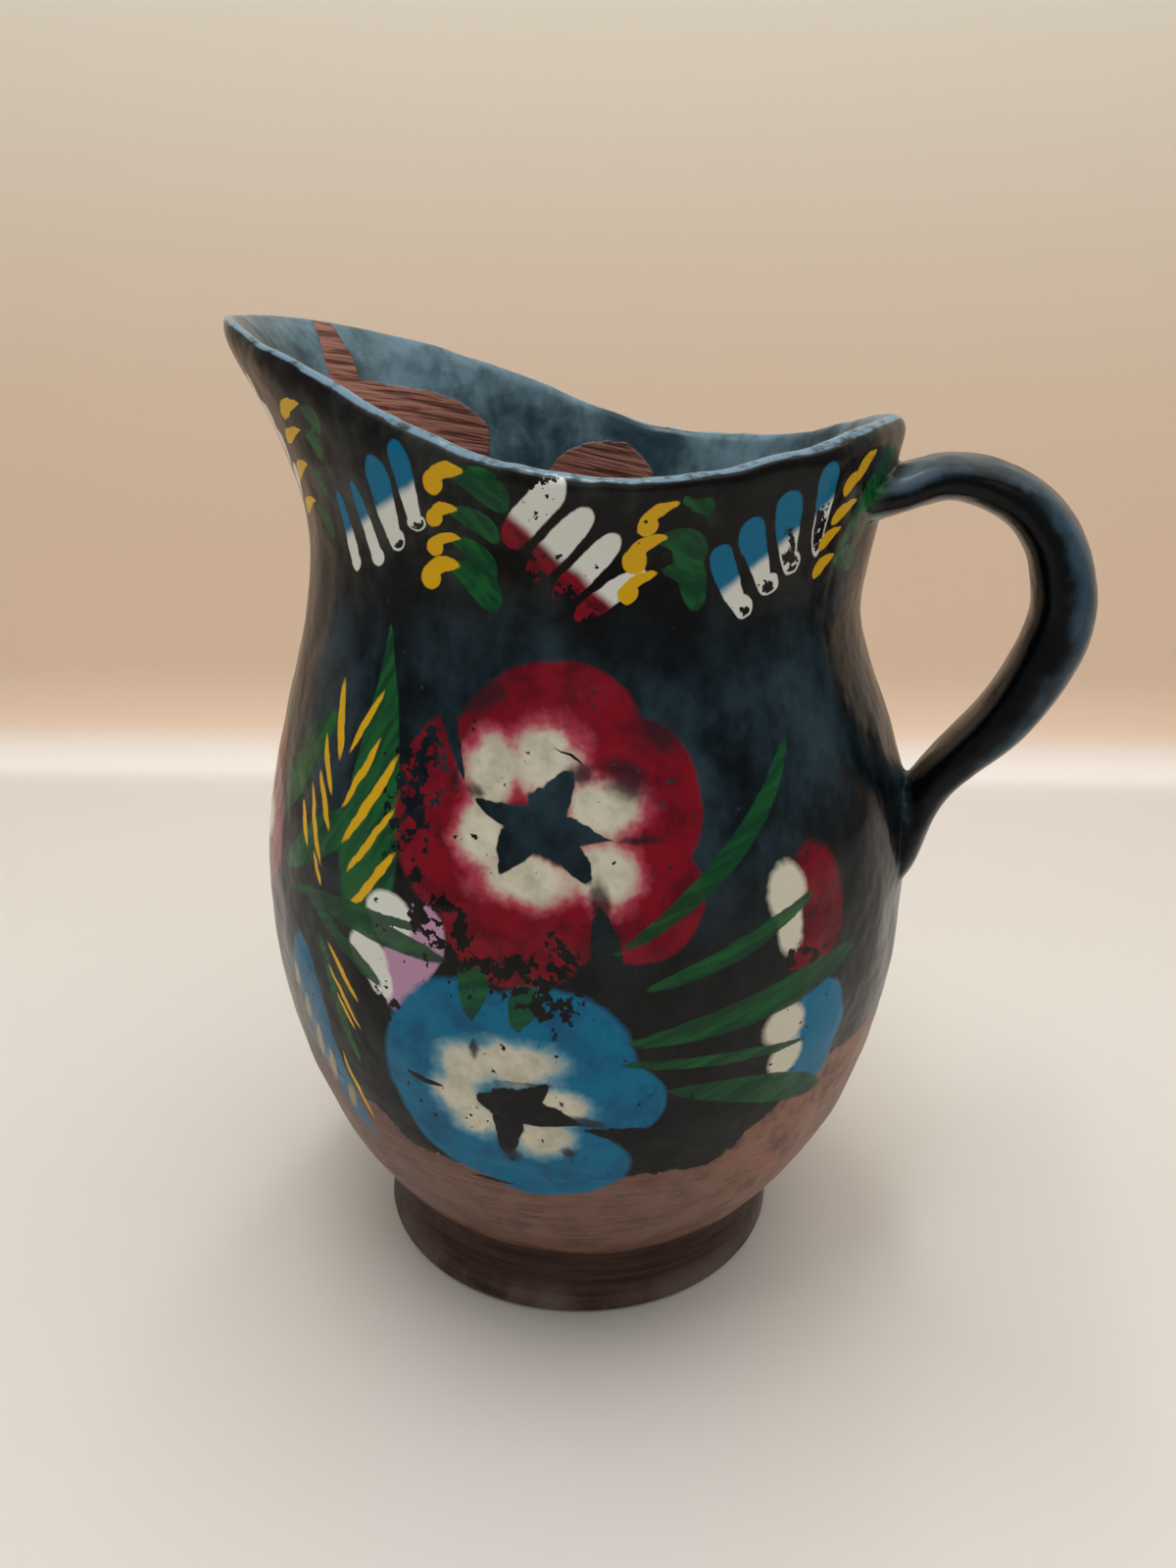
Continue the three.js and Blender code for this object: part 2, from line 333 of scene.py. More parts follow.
class Value:
    """A number that varies over the surface. Sums of such numbers add Math nodes."""

    def __init__(self, net, socket):
        self.net = net
        self.socket = socket

    def __add__(self, other):
        return self.net.math("ADD", self, other)

    def __sub__(self, other):
        return self.net.math("SUBTRACT", self, other)

    def __rsub__(self, other):
        return self.net.math("SUBTRACT", other, self)

    def __mul__(self, other):
        return self.net.math("MULTIPLY", self, other)

    def __truediv__(self, other):
        return self.net.math("DIVIDE", self, other)

    def least(self, other):
        return self.net.math("MINIMUM", self, other)

    def most(self, other):
        return self.net.math("MAXIMUM", self, other)


class Net:
    """A material's nodes, made one after another."""

    def __init__(self, tree):
        self.tree = tree

    def add(self, kind, **settings):
        node = self.tree.nodes.new(kind)
        for name, value in settings.items():
            setattr(node, name, value)
        return node

    def feed(self, socket, value):
        if isinstance(value, Value):
            value = value.socket
        if isinstance(value, bpy.types.NodeSocket):
            self.tree.links.new(value, socket)
        else:
            socket.default_value = value

    def math(self, operation, *terms):
        node = self.add("ShaderNodeMath", operation=operation)
        for place, term in enumerate(terms):
            self.feed(node.inputs[place], term)
        return Value(self, node.outputs[0])

    def stored(self, name):
        """The three numbers that the mesh keeps under this name."""
        node = self.add("ShaderNodeAttribute", attribute_name=name)
        return self.split(node.outputs["Vector"])

    def cloud(self, vector, scale, detail, roughness=0.5):
        """A cloudy pattern about 0.5, finer with a larger scale."""
        node = self.add("ShaderNodeTexNoise")
        self.feed(node.inputs["Vector"], vector)
        node.inputs["Scale"].default_value = scale
        node.inputs["Detail"].default_value = detail
        node.inputs["Roughness"].default_value = roughness
        return Value(self, node.outputs["Fac"])

    def mapped(self, vector, size, turn=0.0):
        """The vector turned and measured in units of size."""
        node = self.add("ShaderNodeMapping", vector_type="TEXTURE")
        self.feed(node.inputs["Vector"], vector)
        node.inputs["Rotation"].default_value = (0, 0, turn)
        node.inputs["Scale"].default_value = size
        return node.outputs[0]

    def dot(self, vector, numbers):
        node = self.add("ShaderNodeVectorMath", operation="DOT_PRODUCT")
        self.feed(node.inputs[0], vector)
        node.inputs[1].default_value = numbers
        return Value(self, node.outputs["Value"])

    def split(self, vector):
        node = self.add("ShaderNodeSeparateXYZ")
        self.feed(node.inputs[0], vector)
        return [Value(self, output) for output in node.outputs]

    def join(self, x, y, z):
        node = self.add("ShaderNodeCombineXYZ")
        for socket, value in zip(node.inputs, (x, y, z)):
            self.feed(socket, value)
        return node.outputs[0]

    def step(self, value, low, high):
        """0 at low, 1 at high with a soft change, also where low is the larger of the two."""
        node = self.add("ShaderNodeMapRange", interpolation_type="SMOOTHSTEP", clamp=False)
        self.feed(node.inputs[0], value)
        node.inputs[1].default_value = low
        node.inputs[2].default_value = high
        return Value(self, node.outputs[0])

    def coat(self, below, above, share):
        """One colour laid over another."""
        node = self.add("ShaderNodeMix", data_type="RGBA")
        self.feed(node.inputs[0], share)
        self.feed(node.inputs[6], below)
        self.feed(node.inputs[7], above)
        return node.outputs[2]


# Brushwork: a shape is a number that is 1 on its edge and less inside

def flat_place(angle, height):
    return Vector((angle * FLAT_PER_DEGREE, height))


def seen_from(net, flat, middle, turn, half_length, half_width):
    """Where a point lies along and across a shape, in halves of its length and width. The third number
    of the flat place is 1, so that one product does the turning and the shifting."""
    along = Vector((math.cos(turn), math.sin(turn))) / half_length
    across = Vector((-math.sin(turn), math.cos(turn))) / half_width
    run = net.dot(flat, (along.x, along.y, -along.dot(middle)))
    side = net.dot(flat, (across.x, across.y, -across.dot(middle)))
    return run, side


def blot(net, flat, angle, height, across, up, turn=0.0):
    """An oval blot: its middle, half its width and height in millimetres, and its turn in degrees."""
    run, side = seen_from(net, flat, flat_place(angle, height), math.radians(turn), across, up)
    return net.math("MULTIPLY_ADD", run, run, side * side)


def stroke(net, flat, start, end, width, bend=0.0, swell=0.0, blunt=False):
    """One touch of the brush from start to end, both an angle and a height. Bend is how far its middle
    bows to the left in millimetres; swell above 0 makes the end wider than the start; blunt makes both
    ends squarer."""
    first = flat_place(*start)
    last = flat_place(*end)
    along = last - first
    half = width / 2
    turn = math.atan2(along.y, along.x)
    run, side = seen_from(net, flat, (first + last) / 2, turn, along.length / 2, half)
    square = run * run
    if bend:
        side = side + net.math("MULTIPLY_ADD", square, bend / half, -bend / half)
    if swell:
        side = side / net.math("MULTIPLY_ADD", run, swell, 1.0)
    ends = square * square if blunt else square
    return net.math("MULTIPLY_ADD", side, side, ends)


def union(net, shapes):
    """The nearest of several shapes, whose edge is at 1. The shapes come as squares."""
    whole = shapes[0]
    for shape in shapes[1:]:
        whole = net.math("MINIMUM", whole, shape)
    return net.math("SQRT", whole)


def above_line(net, flat, first, second):
    """Millimetres to the left of the line from one place to another."""
    start = flat_place(*first)
    along = (flat_place(*second) - start).normalized()
    left = Vector((-along.y, along.x))
    return net.dot(flat, (left.x, left.y, -left.dot(start)))


class Sheet:
    """Works a shape out once for every vertex, where a Net works it out in the shader."""

    def dot(self, flat, numbers):
        return flat @ np.array(numbers)

    def math(self, operation, *terms):
        if operation == "MINIMUM":
            return np.minimum(*terms)
        if operation == "SQRT":
            return np.sqrt(terms[0])
        first, second, third = terms
        return first * second + third


def filled(net, shape, soft=0.05):
    """The share of paint near a shape's edge. It runs past 1 inside and below 0 outside, and the coat
    that takes it clamps it."""
    return net.math("MULTIPLY_ADD", shape, -0.5 / soft, 0.5 / soft + 0.5)


def layer(net, name, painter, *values):
    """One group of nodes that a painter function fills. It gets the flat place, how sound the paint is,
    a fine grain and the colour below, and gives the colour with its own paint on top."""
    group = bpy.data.node_groups.new(name, "ShaderNodeTree")
    for label, kind in (("Flat", "Vector"), ("Sound", "Float"), ("Grain", "Float"), ("Colour", "Color")):
        group.interface.new_socket(label, in_out="INPUT", socket_type="NodeSocket" + kind)
    group.interface.new_socket("Colour", in_out="OUTPUT", socket_type="NodeSocketColor")
    inner = Net(group)
    entry = inner.add("NodeGroupInput")
    sound, grain = Value(inner, entry.outputs[1]), Value(inner, entry.outputs[2])
    colour = painter(inner, entry.outputs[0], sound, grain, entry.outputs[3])
    inner.feed(inner.add("NodeGroupOutput").inputs[0], colour)
    node = net.add("ShaderNodeGroup", node_tree=group)
    for socket, value in zip(node.inputs, values):
        net.feed(socket, value)
    return node.outputs[0]


# Broad shapes. Blots have an angle, a height, half a width, half a height and a turn. Strokes have a start
# and an end, each an angle and a height, then a width, a bend, a swell and whether the ends are blunt.
LEFT_LEAVES = [
    ((-21.9, 140.6), (-20.9, 91.5), 10.6, 0.9, 0.75),
    ((-32.0, 124.5), (-46.0, 104.0), 7.4, -1.6, 0.1),
    ((-25.0, 109.0), (-43.0, 94.5), 6.4, 0.0, -0.25),
    ((-32.0, 88.0), (-23.0, 62.0), 2.2),
]
RIGHT_LEAVES = [
    ((17.6, 91.6), (49.6, 124.0), 3.6, -2.8, 0.2),
    ((20.0, 76.2), (61.5, 85.6), 5.6, -0.8, 0.35),
    ((27.0, 66.6), (58.5, 56.8), 5.8, 1.2, 0.35),
    ((-0.8, 89.6), (-1.8, 78.8), 4.4, 0.0, -0.55),
    ((7.4, 87.0), (4.7, 77.4), 4.4, 0.0, -0.6),
    ((-38.0, 92.4), (-5.0, 89.2), 3.8, 1.0, 0.3),
]
THIN_RIGHT_LEAVES = [
    ((24.0, 86.4), (51.0, 98.2), 3.2, -0.6),
    ((20.5, 72.6), (51.5, 70.2), 2.2),
    ((-41.3, 91.6), (-9.4, 94.0), 2.5, 0.6, 0.0),
    ((-34.0, 91.8), (-17.2, 81.4), 3.0, 0.4, 0.2),
]
FAR_LEAVES = [
    ((14.0, 92.0), (44.0, 118.0), 5.0, -2.4, -0.1),
    ((16.0, 84.0), (50.0, 96.0), 4.4, -1.0, 0.1),
    ((16.0, 74.0), (48.0, 74.0), 4.4, 0.6, 0.1),
]
BLUE_LEAF = [((-38.5, 84.0), (-26.6, 43.5), 9.0, -1.5, -0.2)]
OCHRE_MARKS = [
    ((-40.6, 75.8), (-41.8, 69.6), 2.2),
    ((-37.4, 71.3), (-39.2, 63.6), 2.2),
    ((-34.5, 66.3), (-37.1, 57.0), 2.2),
    ((-31.4, 62.5), (-35.0, 51.7), 2.2),
    ((-28.6, 55.4), (-30.6, 48.0), 2.2),
]
LILAC_PETALS = [
    (-10.0, 91.6, 4.6, 7.0, -14),
    (-13.2, 83.4, 5.2, 6.4, 20),
]
WHITE_PETALS = [
    (-15.6, 95.4, 4.6, 3.4, -6),
    (-14.8, 92.4, 3.8, 2.6),
    (-19.4, 86.6, 4.6, 3.6, -38),
    (-17.6, 83.4, 2.6, 4.6, 24),
]
RED_BUD = [
    (51.8, 95.2, 6.4, 11.2, 4),
    (49.8, 86.4, 4.6, 1.3, 0),
]
BLUE_BUD = [
    (53.4, 71.0, 7.4, 10.6, -6),
    (54.0, 63.4, 5.0, 6.0),
]
BUD_WHITES = [
    (46.2, 99.4, 3.6, 5.4, 6),
    (46.8, 93.0, 2.6, 4.4),
    (46.6, 75.0, 4.0, 4.2),
    (48.0, 67.8, 3.4, 3.8),
]

# Patches where the paint has flaked
WORN_STROKES = [
    ((-9.6, 127.5), (-14.2, 102.0), 11.0, -1.5, 0.1),
    ((-13.6, 106.0), (-1.0, 86.0), 10.5),
    ((-4.0, 87.6), (18.0, 89.4), 9.0),
    ((10.6, 95.4), (14.0, 88.0), 4.4),
    ((-1.0, 154.0), (16.0, 143.0), 6.6, -1.0),
]
WORN_BLOTS = [
    (10.5, 84.0, 6.0, 3.6),
    (7.6, 163.2, 3.2, 2.6),
    (-17.0, 78.0, 3.6, 4.0),
    (48.6, 87.4, 5.0, 2.6),
]
LITTLE_WORN_BLOTS = [
    (2.0, 70.6, 9.0, 5.4),
    (-4.0, 60.6, 5.0, 5.4),
    (8.6, 56.4, 5.4, 3.6),
    (2.4, 118.8, 6.4, 4.0),
    (-1.4, 111.0, 4.0, 5.4),
    (48.6, 71.6, 4.4, 5.4),
    (-17.0, 93.0, 6.0, 6.0),
]

# The large flowers: their petals, the pale heart and the places that are rubbed dark
RED_PETALS = [
    (8.6, 126.6, 15.4, 10.8, 10),
    (21.9, 115.8, 11.4, 13.6, 0),
    (22.4, 101.4, 10.6, 10.4, -25),
    (5.4, 97.4, 11.9, 11.2, 0),
    (-6.6, 112.6, 9.6, 15.2, 8),
]
RED_HEART = [
    (0.2, 120.6, 3.9, 4.9, 0),
    (8.8, 122.6, 5.6, 5.2, 20),
    (-0.6, 111.0, 3.7, 4.9, 0),
    (17.0, 115.4, 6.0, 4.1, 0),
    (18.0, 105.6, 4.8, 4.6, -35),
    (6.6, 104.6, 7.0, 3.9, 0),
]
RED_DUSK = [
    (-1.9, 117.2, 1.7, 1.3, -20),
    (21.3, 119.6, 4.0, 3.0, -40),
    (14.0, 120.8, 3.0, 1.6, 10),
    (23.0, 111.0, 4.6, 0.9, 0),
    (17.2, 101.0, 1.5, 4.4, 10),
    (-5.4, 119.2, 1.2, 3.4, -20),
    (-3.0, 131.4, 6.0, 2.6, 25),
    (26.4, 127.6, 4.6, 3.4, -40),
]
BLUE_PETALS = [
    (-3.2, 67.0, 14.4, 19.6, 0),
    (9.0, 72.6, 14.2, 14.2, 0),
    (18.8, 65.0, 9.2, 8.2, 0),
    (9.4, 50.2, 14.0, 9.0, 0),
    (-2.0, 55.0, 13.0, 10.0, -20),
]
BLUE_HEART = [
    (-3.2, 70.2, 3.6, 4.0, 20),
    (4.6, 72.0, 6.2, 3.7, 0),
    (-4.6, 63.2, 3.8, 3.6, -40),
    (-1.6, 58.8, 3.4, 3.6, -45),
    (11.4, 64.2, 4.4, 3.0, -25),
    (8.6, 56.4, 4.4, 3.5, 0),
]
BLUE_DUSK = [
    (4.4, 67.6, 5.6, 0.8, 5),
    (15.6, 60.6, 4.8, 1.0, -14),
    (3.4, 51.6, 2.0, 2.0, 0),
    (-1.4, 73.8, 0.9, 2.2, -10),
    (12.6, 53.2, 1.3, 1.5, 30),
]


def flat_places(places, behind=False):
    """The flat place of every vertex, measured from the front or from the middle of the back."""
    angle = np.arctan2(places[:, 0], places[:, 1] if behind else -places[:, 1])
    return np.stack([angle * FLAT_RADIUS_MM, places[:, 2] / MM, np.ones(len(places))], axis=1)


def blots(flat, shapes):
    sheet = Sheet()
    return union(sheet, [blot(sheet, flat, *shape) for shape in shapes])


def strokes(flat, shapes):
    sheet = Sheet()
    return union(sheet, [stroke(sheet, flat, *shape) for shape in shapes])


def worn_paint(places):
    """Where the paint has flaked: 1 where it is worst, with some patches only a little worn."""
    flat = flat_places(places)
    worst = np.minimum(strokes(flat, WORN_STROKES), blots(flat, WORN_BLOTS))
    worst = np.minimum(worst, blots(flat, LITTLE_WORN_BLOTS) + 1)
    return 1 - ramp(worst, 0.55, 1.5)


def round_flower(flat, middle, radius):
    """A plainer flower as two numbers: one for its five round petals and one for the star in them."""
    spot = flat_place(*middle)
    right = (flat[:, 0] - spot.x) / radius
    up = (flat[:, 1] - spot.y) / radius
    reach = np.hypot(right, up)
    scallop = np.abs(np.cos(np.arctan2(up, right) * 2.5))
    return reach - 0.2 * scallop, reach + 0.22 * scallop


def lay_out_painting(pot):
    """Stores the broad shapes of the painting on the mesh. Small and thin ones are left to the shader."""
    places = places_of(pot)
    flat = flat_places(places)
    behind = flat_places(places, True)
    store(pot, "red_flower", *[blots(flat, shapes) for shapes in (RED_PETALS, RED_HEART, RED_DUSK)])
    store(pot, "blue_flower", *[blots(flat, shapes) for shapes in (BLUE_PETALS, BLUE_HEART, BLUE_DUSK)])
    lilac, white = blots(flat, LILAC_PETALS), blots(flat, WHITE_PETALS)
    store(pot, "half_hidden", lilac, white, strokes(flat, BLUE_LEAF))
    store(pot, "buds", *[blots(flat, shapes) for shapes in (RED_BUD, BLUE_BUD, BUD_WHITES)])
    tails = [(*tail, 1.0, 0.4) for tail in GREEN_TAILS]
    store(pot, "greens", *[strokes(flat, shapes) for shapes in (LEFT_LEAVES, RIGHT_LEAVES, tails)])
    left_dabs = [(*dab, 0.0, 0.0, True) for dab in LEFT_DABS]
    store(pot, "touches", *[strokes(flat, shapes) for shapes in (OCHRE_MARKS, left_dabs, LOST_DABS)])
    mirrored = behind * np.where(behind[:, :1] < 0, (-1, 1, 1), (1, 1, 1))
    side_red, side_star = round_flower(flat, (-64.0, 97.5), 19.0)
    back_red, red_star = round_flower(behind, (1.0, 108.0), 23.0)
    back_blue, blue_star = round_flower(behind, (-3.0, 70.0), 21.0)
    stars = np.minimum(np.minimum(side_star, red_star), blue_star)
    store(pot, "far_flowers", np.minimum(side_red, back_red), back_blue, stars)
    store(pot, "far_leaves", strokes(mirrored, FAR_LEAVES))


# The neck band: clusters of yellow touches with green tails, and rows of four two-coloured dabs.
# Every place is an angle from the front in degrees and a height in millimetres.
YELLOW_COMMAS = [
    ((-12.9, 162.9), (-5.2, 165.3), 3.6),
    ((-12.9, 157.8), (-7.0, 159.6), 2.6),
    ((-13.2, 153.0), (-7.0, 155.2), 2.5),
    ((-14.6, 148.4), (-7.2, 151.2), 3.4),
    ((22.6, 157.0), (29.0, 161.4), 2.8),
    ((20.9, 151.7), (27.4, 156.2), 3.4),
    ((20.0, 146.9), (26.2, 150.9), 2.8),
]
YELLOW_TOUCHES = [
    ((-48.9, 171.6), (-40.4, 173.8), 2.2),
    ((-52.4, 167.2), (-43.2, 169.4), 2.1),
    ((-53.0, 161.4), (-44.2, 164.2), 2.1),
    ((-55.4, 155.1), (-45.2, 158.0), 2.1),
    ((61.4, 161.4), (65.4, 163.8), 3.1),
    ((64.2, 163.2), (68.6, 167.6), 2.9),
    ((60.6, 156.6), (66.8, 159.7), 2.3),
    ((58.8, 152.6), (63.8, 155.6), 2.1),
    ((58.4, 148.2), (63.6, 151.2), 2.5),
]
GREEN_TAILS = [
    ((-40.6, 173.4), (-36.2, 169.2), 3.2),
    ((-42.2, 169.2), (-37.7, 165.2), 3.0),
    ((-44.4, 163.5), (-38.7, 158.8), 3.0),
    ((-45.4, 157.8), (-39.4, 152.0), 3.2),
    ((-7.8, 165.0), (2.2, 160.4), 4.7),
    ((-9.4, 159.4), (0.3, 155.4), 3.3),
    ((-9.2, 155.2), (-0.4, 149.9), 3.2),
    ((-9.6, 151.3), (0.4, 145.2), 4.7),
    ((28.4, 161.0), (31.2, 160.6), 1.6),
    ((31.0, 160.2), (34.8, 159.6), 2.9),
    ((25.6, 155.9), (34.6, 153.2), 4.2),
    ((28.2, 156.4), (33.8, 144.9), 5.0),
    ((26.4, 150.9), (32.4, 149.2), 2.6),
    ((63.6, 149.8), (72.6, 148.8), 4.0),
    ((65.0, 151.4), (79.6, 169.4), 5.4),
    ((68.0, 150.0), (80.0, 158.0), 3.4),
]
BLUE_WHITE_DABS = [
    ((-35.4, 160.5), (-31.3, 148.0), 2.7, 0.3),
    ((-30.0, 162.3), (-24.8, 149.6), 3.0, 0.15),
    ((-23.7, 166.4), (-20.2, 152.4), 4.8, -0.3),
    ((-18.3, 169.2), (-15.0, 155.6), 3.8, -0.25),
    ((36.2, 154.5), (42.6, 143.2), 4.2, -0.35),
    ((41.2, 158.4), (47.6, 146.4), 4.3, -0.4),
    ((48.0, 162.4), (52.2, 149.0), 4.8, -0.35),
    ((55.6, 166.4), (58.4, 151.6), 4.4, -0.3),
]
DROPS = [
    (42.6, 144.8, 2.3, 1.9),
    (47.7, 147.9, 2.2, 1.8),
    (52.4, 151.0, 2.0, 2.0),
    (-31.6, 149.2, 1.5, 1.5),
    (-25.3, 151.0, 1.7, 1.6),
    (-20.1, 154.0, 2.1, 1.9),
    (-15.1, 157.0, 2.1, 1.4),
]

# Where the foot of a dab has lost its paint and only its outline is left
LOST_DABS = [
    ((42.7, 142.8), (42.7, 145.0), 3.2),
    ((47.8, 146.0), (47.8, 148.2), 3.0),
    ((52.6, 147.6), (50.6, 155.6), 4.6),
    ((58.6, 150.0), (57.4, 158.4), 5.0),
    ((-19.9, 152.2), (-19.9, 154.2), 2.8),
    ((-14.9, 155.8), (-14.9, 157.4), 3.0),
]
WHITE_RED_DABS = [
    ((11.0, 164.9), (1.2, 154.6), 5.2),
    ((15.2, 160.3), (4.8, 149.8), 4.5),
    ((20.0, 156.5), (9.4, 146.6), 4.3),
    ((24.2, 151.2), (12.6, 143.9), 3.3),
]
LEFT_DABS = [
    ((-60.6, 177.6), (-68.0, 168.6), 4.4),
    ((-57.6, 173.0), (-66.0, 163.6), 4.4),
    ((-55.8, 168.0), (-64.0, 159.0), 4.0),
    ((-52.6, 163.4), (-60.0, 154.6), 3.6),
]


def neck_band(net, flat, sound, grain, colour):
    """The band of touches round the neck, as far as the photo shows it."""
    _, left_dabs, lost = net.stored("touches")
    tails = net.stored("greens")[2]
    streaks = net.cloud(net.mapped(flat, (2.6, 0.8, 1), math.radians(-35)), 0.5, 1, 0.6)
    green = net.coat(GREEN_DEEP, GREEN, net.step(streaks, 0.35, 0.7))
    tails = net.math("MULTIPLY_ADD", grain, 0.2, tails - 0.1)
    colour = net.coat(colour, green, filled(net, tails).least(net.step(sound, 0.0, 0.03)))

    dabs = []
    for start, end, width, swell in BLUE_WHITE_DABS:
        dabs.append(stroke(net, flat, start, end, width, 0.0, swell, True))
    dabs = union(net, dabs + [blot(net, flat, *drop) for drop in DROPS])
    kept = net.step(net.math("MULTIPLY_ADD", sound, 4.0, lost - 0.7), 0.9, 1.0)
    kept = kept.most(net.step(dabs, 0.76, 0.86))
    upper = net.step(above_line(net, flat, (-33.2, 153.8), (-16.2, 162.4)), -1.0, 0.9)
    upper_right = net.step(above_line(net, flat, (39.8, 148.2), (57.0, 159.6)), -1.0, 0.9)
    right = net.step(net.split(flat)[0], -1.0, 1.0)
    blue = net.coat(WHITE, BLUE, net.math("MULTIPLY_ADD", right, upper_right - upper, upper))
    colour = net.coat(colour, blue, filled(net, dabs).least(kept).least(net.step(sound, -0.02, 0.01)))

    dabs = union(net, [stroke(net, flat, *dab, 0.0, 0.0, True) for dab in WHITE_RED_DABS]).least(left_dabs)
    upper = net.step(above_line(net, flat, (3.4, 158.2), (17.3, 147.4)), -1.0, 1.0)
    upper_left = net.step(above_line(net, flat, (-64.3, 172.5), (-56.3, 158.4)), -1.0, 1.0)
    left = net.step(net.split(flat)[0], -32, -36)
    upper = net.math("MULTIPLY_ADD", left, upper_left - upper, upper)
    red = net.coat(RED_DEEP, RED, net.step(streaks, 0.3, 0.6))
    flaking = net.math("MULTIPLY_ADD", upper, 0.04, sound)
    tint = net.coat(red, WHITE, upper)
    colour = net.coat(colour, tint, filled(net, dabs).least(net.step(flaking, 0.04, 0.06)))

    touches = [stroke(net, flat, *touch, 0.6, -0.45) for touch in YELLOW_TOUCHES]
    for start, end, width in YELLOW_COMMAS:
        touches.append(stroke(net, flat, start, end, width * 0.72, width * 0.3, -0.15))
        heavy = (start[0] * 0.76 + end[0] * 0.24, start[1] * 0.76 + end[1] * 0.24 - 0.1)
        touches.append(blot(net, flat, *heavy, width * 0.62, width * 0.56, 20))
    touches = union(net, touches)
    return net.coat(colour, YELLOW, filled(net, touches).least(net.step(sound, -0.01, 0.02)))


def left_leaves(net, flat, sound, grain, colour):
    """The pointed leaves left of the flowers with their yellow slashes, and the blue leaf under them."""
    tip = union(net, [stroke(net, flat, (-21.7, 140.4), (-21.0, 120.0), 2.6, 0.0, 0.3, True)])
    fibre = net.cloud(net.mapped(flat, (6, 0.8, 1), math.radians(60)), 0.4, 1, 0.6)
    green = net.coat(GREEN_DEEP, GREEN, net.step(fibre, 0.35, 0.6))
    leaves = net.math("MULTIPLY_ADD", grain, 0.16, net.stored("greens")[0] - 0.08).least(tip)
    colour = net.coat(colour, green, filled(net, leaves).least(net.step(sound, -0.03, 0.0) * 0.94))
    blue_leaf = net.math("MULTIPLY_ADD", grain, 0.2, net.stored("half_hidden")[2] - 0.1)
    colour = net.coat(colour, BLUE, filled(net, blue_leaf).least(net.step(sound, 0.0, 0.06) * 0.8))
    slashes = []
    for start, end, width in (
        ((-21.9, 129.6), (-27.4, 119.2), 1.4),
        ((-20.6, 122.3), (-27.1, 110.0), 1.4),
        ((-16.6, 120.1), (-25.9, 104.2), 1.9),
        ((-15.9, 112.0), (-24.3, 99.8), 1.3),
        ((-14.6, 105.3), (-23.2, 94.3), 1.6),
        ((-32.4, 129.8), (-29.9, 117.4), 2.2),
        ((-35.0, 120.2), (-30.4, 111.0), 1.4),
        ((-34.6, 114.0), (-29.8, 105.4), 1.5),
        ((-36.9, 111.2), (-31.1, 99.0), 1.4),
        ((-39.2, 107.6), (-35.2, 100.8), 1.3),
        ((-33.1, 100.4), (-31.1, 95.2), 1.0),
        ((-29.0, 84.8), (-22.2, 76.7), 1.0),
        ((-28.8, 80.6), (-22.0, 71.2), 0.9),
        ((-27.1, 76.0), (-23.4, 70.6), 0.8),
        ((-28.0, 63.0), (-24.4, 49.4), 1.1),
    ):
        slashes.append(stroke(net, flat, start, end, width))
    colour = net.coat(colour, YELLOW, filled(net, union(net, slashes), 0.1))
    marks = net.math("MULTIPLY_ADD", grain, 0.3, net.stored("touches")[0] - 0.15)
    return net.coat(colour, OCHRE, filled(net, marks, 0.14).least(0.85))


def flower(net, flat, sound, grain, below, name, cuts, colours, soft):
    """Broad petals, pale toward the middle, round a star that is left dark."""
    shape, pale, dusk = net.stored(name)
    main, deep, blush = colours
    parts = [blot(net, flat, *cuts[0])] + [stroke(net, flat, *part) for part in cuts[1:]]
    cut = union(net, parts)
    uneven = grain - 0.5
    colour = net.coat(deep, main, net.step(grain, 0.3, 0.6))
    pale = net.math("MULTIPLY_ADD", uneven, 1.5, pale)
    colour = net.coat(colour, blush, net.step(pale, soft[0] + 0.4, soft[0] - 0.2))
    cream = net.coat(CREAM_DULL, CREAM, net.step(grain, 0.32, 0.62))
    colour = net.coat(colour, cream, net.step(pale, *soft))
    dusk = net.math("MULTIPLY_ADD", uneven, -1.6, dusk)
    colour = net.coat(colour, DUSK, net.step(dusk, 1.35, 0.5) * 0.85)
    shape = net.math("MULTIPLY_ADD", uneven, 0.16, shape)
    open_middle = net.math("MULTIPLY_ADD", uneven, -1.0, 2.0 - cut)
    mask = filled(net, shape, 0.035).least(filled(net, open_middle, 0.06))
    return net.coat(below, colour, mask.least(net.step(sound, -0.005, 0.015)))


